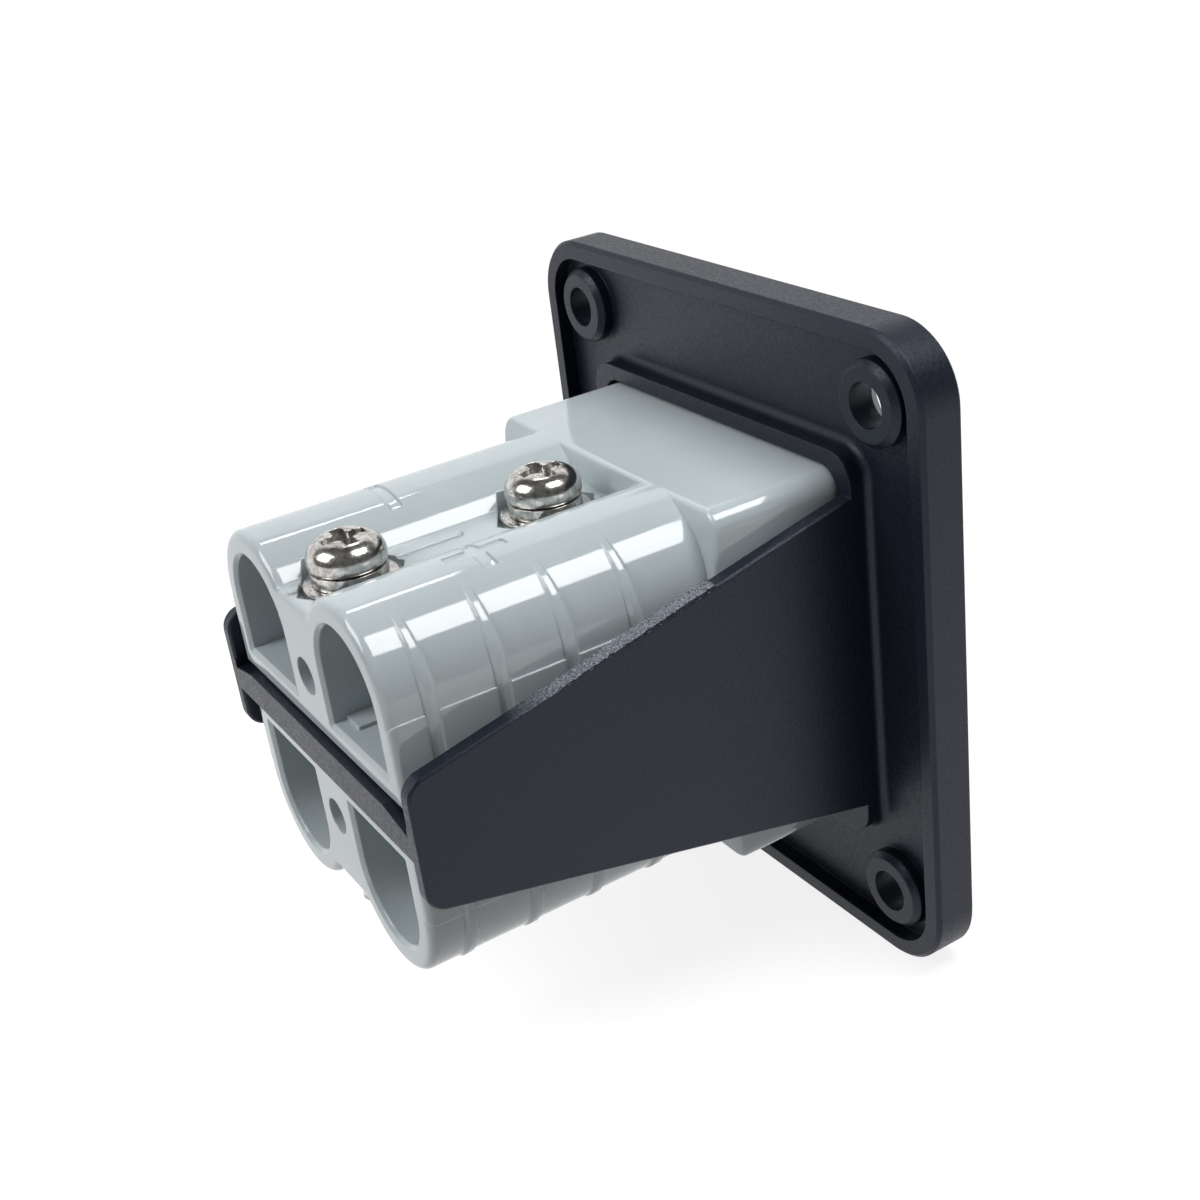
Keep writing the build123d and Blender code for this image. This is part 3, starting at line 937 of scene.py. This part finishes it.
@dataclass
class MarkedHousings:
    """The housings with a sunken plus and minus sign on the crests of their barrels.

    Lengths are millimetres and angles degrees. A sign starts above the housing, drops onto it,
    grows a wall as high as reach and sinks by depth.
    """

    finish: bpy.types.Material
    smooth_angle: float = 30.0
    centre_y: float = 30.6
    size: float = 5.7
    cells: int = 13
    arm_cells: float = 1.5
    above: float = 5.0
    depth: float = 0.22
    reach: float = 0.9
    rim: SoftEdge = SoftEdge(0.1, 3, 50.0)
    merge: float = 0.001

    def sign_cutter(self, pole: Pole) -> bpy.types.Object:
        """Cuts a sign out of a grid, lays it on the barrel, thickens it and sinks it.

        Args:
            pole: Which sign it is.

        Returns:
            The cutter.
        """
        clear_selection()
        bpy.ops.mesh.primitive_grid_add(
            x_subdivisions=self.cells, y_subdivisions=self.cells, size=self.size * MM,
            location=(pole.value * MM, self.centre_y * MM,
                      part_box("upper_housing")[1].z + self.above * MM))
        sign = bpy.context.object
        apply_place(sign)
        arm = self.arm_cells * self.size / self.cells
        plus = pole is Pole.POSITIVE
        pick(sign, Grip.FACE, lambda middle, normal: abs(middle.y - self.centre_y) > arm
             and (abs(middle.x - pole.value) > arm or not plus))
        bpy.ops.mesh.delete(type="FACE")
        bpy.ops.object.mode_set(mode="OBJECT")
        drape = sign.modifiers.new("lie_on_barrel", "SHRINKWRAP")
        drape.target = frame["nodes"]["upper_housing"]
        drape.wrap_method = "PROJECT"
        drape.use_project_z = True
        drape.use_negative_direction = True
        drape.use_positive_direction = False
        bpy.ops.object.modifier_apply(modifier=drape.name)
        thicken(sign, self.reach, outwards=True)
        pick(sign, Grip.CORNER, everything)
        bpy.ops.transform.translate(value=(0, 0, -self.depth * MM))
        bpy.ops.object.mode_set(mode="OBJECT")
        soften(sign, self.rim)
        return sign

    def shell(self) -> bpy.types.Object:
        """Copies the upper housing, merges its loose triangles and sinks both signs into it."""
        mesh = frame["nodes"]["upper_housing"].data.copy()
        shell = bpy.data.objects.new("upper_housing_marked", mesh)
        bpy.context.scene.collection.objects.link(shell)
        take(shell)
        bpy.ops.mesh.customdata_custom_splitnormals_clear()
        pick(shell, Grip.CORNER, everything)
        bpy.ops.mesh.remove_doubles(threshold=self.merge * MM)
        bpy.ops.object.mode_set(mode="OBJECT")
        for pole in Pole:
            carve(shell, self.sign_cutter(pole))
        return shell

    def build(self) -> None:
        """Marks the upper housing and, turned half round about Y, the lower one."""
        upper = self.shell()
        lower = copy_to(upper, "lower_housing_marked")
        lower.rotation_euler = (0, math.pi, 0)
        apply_place(lower)
        for piece, node in ((upper, "upper_housing"), (lower, "lower_housing")):
            settle(piece, self.finish, self.smooth_angle)
            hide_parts(node)


# Trimmed edge

class Tear(Enum):
    """The ways in which a torn skin is uneven."""

    RELIEF = "NORMAL"
    BORDER = "X"


@dataclass
class TornEdge:
    """The ragged skin that trimming left on the near cheek's sloping upper edge.

    Lengths are millimetres and angles degrees.
    """

    finish: bpy.types.Material
    smooth_angle: float = 25.0
    inner: float = -19.0
    outer: float = -20.5
    start: float = 14.9
    end: float = 30.2
    middle_height: float = 10.9
    fall: float = 13.3
    cells_across: int = 14
    cells_along: int = 130
    thickness: float = 0.3
    relief_size: float = 0.3
    relief_depth: float = 0.22
    border_size: float = 0.5
    border_depth: float = 0.4

    def tear(self, skin: bpy.types.Object, way: Tear, size: float, depth: float) -> None:
        """Makes the skin uneven in one way.

        Args:
            skin: The piece.
            way: Whether its relief or its border is torn.
            size: Size of one lump, in millimetres.
            depth: How far it moves at most, in millimetres.
        """
        lumps = bpy.data.textures.new(f"lumps_of_{way.name.lower()}", "CLOUDS")
        lumps.noise_scale = size * MM
        take(skin)
        rough = skin.modifiers.new("tear", "DISPLACE")
        rough.texture = lumps
        rough.direction = way.value
        rough.strength = depth * MM
        bpy.ops.object.modifier_apply(modifier=rough.name)

    def build(self) -> None:
        """Lays a fine grid on the edge, tears it and thickens it down into the cheek."""
        middle = Vector((
            (self.inner + self.outer) / 2, (self.start + self.end) / 2, self.middle_height))
        length = (self.end - self.start) / math.cos(math.radians(self.fall))
        clear_selection()
        bpy.ops.mesh.primitive_grid_add(
            x_subdivisions=self.cells_across, y_subdivisions=self.cells_along, size=MM)
        skin = bpy.context.object
        skin.name = "near_cheek_torn_edge"
        pick(skin, Grip.FACE, everything)
        bpy.ops.transform.resize(value=(self.inner - self.outer, length, 1.0),
                                 center_override=(0, 0, 0))
        bpy.ops.object.mode_set(mode="OBJECT")
        skin.rotation_euler = (-math.radians(self.fall), 0, 0)
        skin.location = middle * MM
        apply_place(skin)
        self.tear(skin, Tear.RELIEF, self.relief_size, self.relief_depth)
        self.tear(skin, Tear.BORDER, self.border_size, self.border_depth)
        thicken(skin, self.thickness, outwards=False)
        settle(skin, self.finish, self.smooth_angle)


# Studio

@dataclass(frozen=True)
class SoftBox:
    """A square or oblong lamp that faces the object, with its length along a given line."""

    name: str
    azimuth: float
    elevation: float
    distance_mm: float
    length_mm: float
    width_mm: float
    power: float
    along: tuple[float, float, float] = (0.0, 1.0, 0.0)

    def build(self, target: Vector) -> None:
        """Places the lamp on its sphere round the target.

        Args:
            target: The point that it faces.
        """
        light = bpy.data.lights.new(self.name, "AREA")
        light.shape = "RECTANGLE"
        light.size = self.length_mm * MM
        light.size_y = self.width_mm * MM
        light.energy = self.power
        lamp = bpy.data.objects.new(self.name, light)
        bpy.context.scene.collection.objects.link(lamp)
        outward = direction(self.azimuth, self.elevation)
        lamp.location = target + outward * self.distance_mm * MM
        length = Vector(self.along)
        length = (length - length.dot(outward) * outward).normalized()
        axes = Matrix((length, outward.cross(length), outward)).transposed()
        lamp.rotation_mode = "QUATERNION"
        lamp.rotation_quaternion = axes.to_quaternion()
        lamp.visible_camera = False
        log.info("lit with %s", lamp.name)


@dataclass
class Studio:
    """Floor, backdrop light, lamps and camera."""

    camera_place_mm: tuple[float, float, float] = (-122.89, 81.78, 72.48)
    camera_azimuth: float = 241.331
    camera_elevation: float = 26.120
    camera_roll: float = -7.562
    lens_mm: float = 49.66
    sensor_mm: float = 36.0
    nearest_mm: float = 5.0
    floor_size_mm: float = 6000.0
    floor_colour: str = "#9A9A9B"
    floor_lift: float = 0.84
    floor_near_mm: float = 90.0
    floor_far_mm: float = 260.0
    world_fill: float = 0.12
    backdrop_azimuth: float = 61.0
    backdrop_top: float = 47.0
    backdrop_edge: float = 0.04
    backdrop_glow: float = 1.0
    lamps: Sequence[SoftBox] = (
        # Gives the wide bright patches on the near flanks of the barrels.
        SoftBox("overhead_soft_box", azimuth=306.0, elevation=61.6, distance_mm=201.0,
                length_mm=90.0, width_mm=86.0, power=0.235),
        # Gives the thin line along the crest of the near barrel.
        SoftBox("backdrop_strip_box", azimuth=65.2, elevation=56.3, distance_mm=447.0,
                length_mm=82.0, width_mm=25.0, power=0.092, along=(-0.2, -0.95, -0.28)),
        # Lights the wire side and the near cheek at a plain level.
        SoftBox("wire_side_soft_box", azimuth=165.0, elevation=42.0, distance_mm=900.0,
                length_mm=500.0, width_mm=500.0, power=4.7, along=(1.0, 0.0, 0.0)),
    )

    def paper(self) -> bpy.types.Material:
        """Builds seamless white paper: matt, with the object's shadow, and pure white far off.

        The camera and reflections see it lifted towards white, so the paper itself lights the
        object no more than a grey floor does.
        """
        material, tree = empty_material("seamless_white_paper")
        path = add_node(tree, "ShaderNodeLightPath")
        place = add_node(tree, "ShaderNodeTexCoord").outputs["Object"]
        reach = add_node(tree, "ShaderNodeVectorMath", {0: place}, operation="LENGTH")
        far = add_node(tree, "ShaderNodeMapRange", {
            "Value": reach.outputs["Value"], "From Min": self.floor_near_mm * MM,
            "From Max": self.floor_far_mm * MM}, interpolation_type="SMOOTHSTEP")
        seen_far = add_node(tree, "ShaderNodeMath", {
            0: path.outputs["Is Camera Ray"], 1: far.outputs["Result"]}, operation="MULTIPLY")
        looked_at = add_node(tree, "ShaderNodeMath", {
            0: path.outputs["Is Camera Ray"], 1: path.outputs["Is Glossy Ray"]},
            operation="MAXIMUM")
        lift = add_node(tree, "ShaderNodeMath", {0: looked_at.outputs[0], 1: self.floor_lift},
                        operation="MULTIPLY")
        diffuse = add_node(tree, "ShaderNodeBsdfDiffuse", {"Color": linear(self.floor_colour)})
        lifted = add_node(tree, "ShaderNodeEmission", {
            "Color": linear(WHITE), "Strength": lift.outputs[0]})
        paper = add_node(tree, "ShaderNodeAddShader", {
            0: diffuse.outputs[0], 1: lifted.outputs[0]})
        white = add_node(tree, "ShaderNodeEmission", {"Color": linear(WHITE)})
        blend = add_node(tree, "ShaderNodeMixShader", {
            0: seen_far.outputs[0], 1: paper.outputs[0], 2: white.outputs[0]})
        add_node(tree, "ShaderNodeOutputMaterial", {"Surface": blend.outputs[0]})
        return material

    def build_floor(self, level: float) -> None:
        """Lays a pale floor under the object.

        Args:
            level: Height of the floor, in metres.
        """
        clear_selection()
        bpy.ops.mesh.primitive_plane_add(size=self.floor_size_mm * MM, location=(0, 0, level))
        floor = bpy.context.object
        floor.name = "studio_floor"
        floor.data.materials.append(self.paper())

    def build_world(self) -> None:
        """Makes a surround that looks white, lit fully on one side and dimly on the rest."""
        world = bpy.data.worlds.new("studio_surround")
        world.use_nodes = True
        tree = world.node_tree
        tree.nodes.clear()
        path = add_node(tree, "ShaderNodeLightPath")
        place = add_node(tree, "ShaderNodeTexCoord").outputs["Generated"]
        slope = math.tan(math.radians(self.backdrop_top))
        below = (direction(self.backdrop_azimuth, 0.0) * slope - Vector((0, 0, 1))).normalized()
        reach = add_node(tree, "ShaderNodeVectorMath", {0: place, 1: below},
                         operation="DOT_PRODUCT")
        backdrop = add_node(tree, "ShaderNodeMapRange", {
            "Value": reach.outputs["Value"], "From Min": -self.backdrop_edge,
            "From Max": self.backdrop_edge, "To Min": self.world_fill,
            "To Max": self.backdrop_glow}, interpolation_type="SMOOTHSTEP")
        strength = add_node(tree, "ShaderNodeMapRange", {
            "Value": path.outputs["Is Camera Ray"], "To Min": backdrop.outputs["Result"],
            "To Max": 1.0})
        light = add_node(tree, "ShaderNodeBackground", {
            "Color": linear(WHITE), "Strength": strength.outputs["Result"]})
        add_node(tree, "ShaderNodeOutputWorld", {"Surface": light.outputs[0]})
        bpy.context.scene.world = world

    def build_camera(self) -> None:
        """Sets the camera where the photo was taken from, with its small roll."""
        lens = bpy.data.cameras.new("photo_camera")
        lens.lens = self.lens_mm
        lens.sensor_width = self.sensor_mm
        lens.clip_start = self.nearest_mm * MM
        camera = bpy.data.objects.new("photo_camera", lens)
        bpy.context.scene.collection.objects.link(camera)
        camera.location = Vector(self.camera_place_mm) * MM
        outward = direction(self.camera_azimuth, self.camera_elevation)
        roll = Quaternion((0, 0, 1), math.radians(self.camera_roll))
        camera.rotation_mode = "QUATERNION"
        camera.rotation_quaternion = (-outward).to_track_quat("-Z", "Y") @ roll
        bpy.context.scene.camera = camera

    def build(self) -> None:
        """Builds the whole studio round the object."""
        low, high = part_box("panel_bracket")
        self.build_floor(low.z)
        self.build_world()
        for lamp in self.lamps:
            lamp.build((low + high) / 2)
        self.build_camera()
        bpy.context.scene.view_settings.view_transform = "Standard"


def main() -> None:
    """Dresses the object, adds its own pieces and sets the studio."""
    dressing = FrameDressing()
    dressing.dress(frame["nodes"])
    ClampHardware(dressing.material_for(FASTENER_FINISH)).build()
    MarkedHousings(dressing.material_for(HOUSING_FINISH)).build()
    TornEdge(dressing.material_for(BRACKET_FINISH)).build()
    Studio().build()


if __name__ == "__main__":
    main()
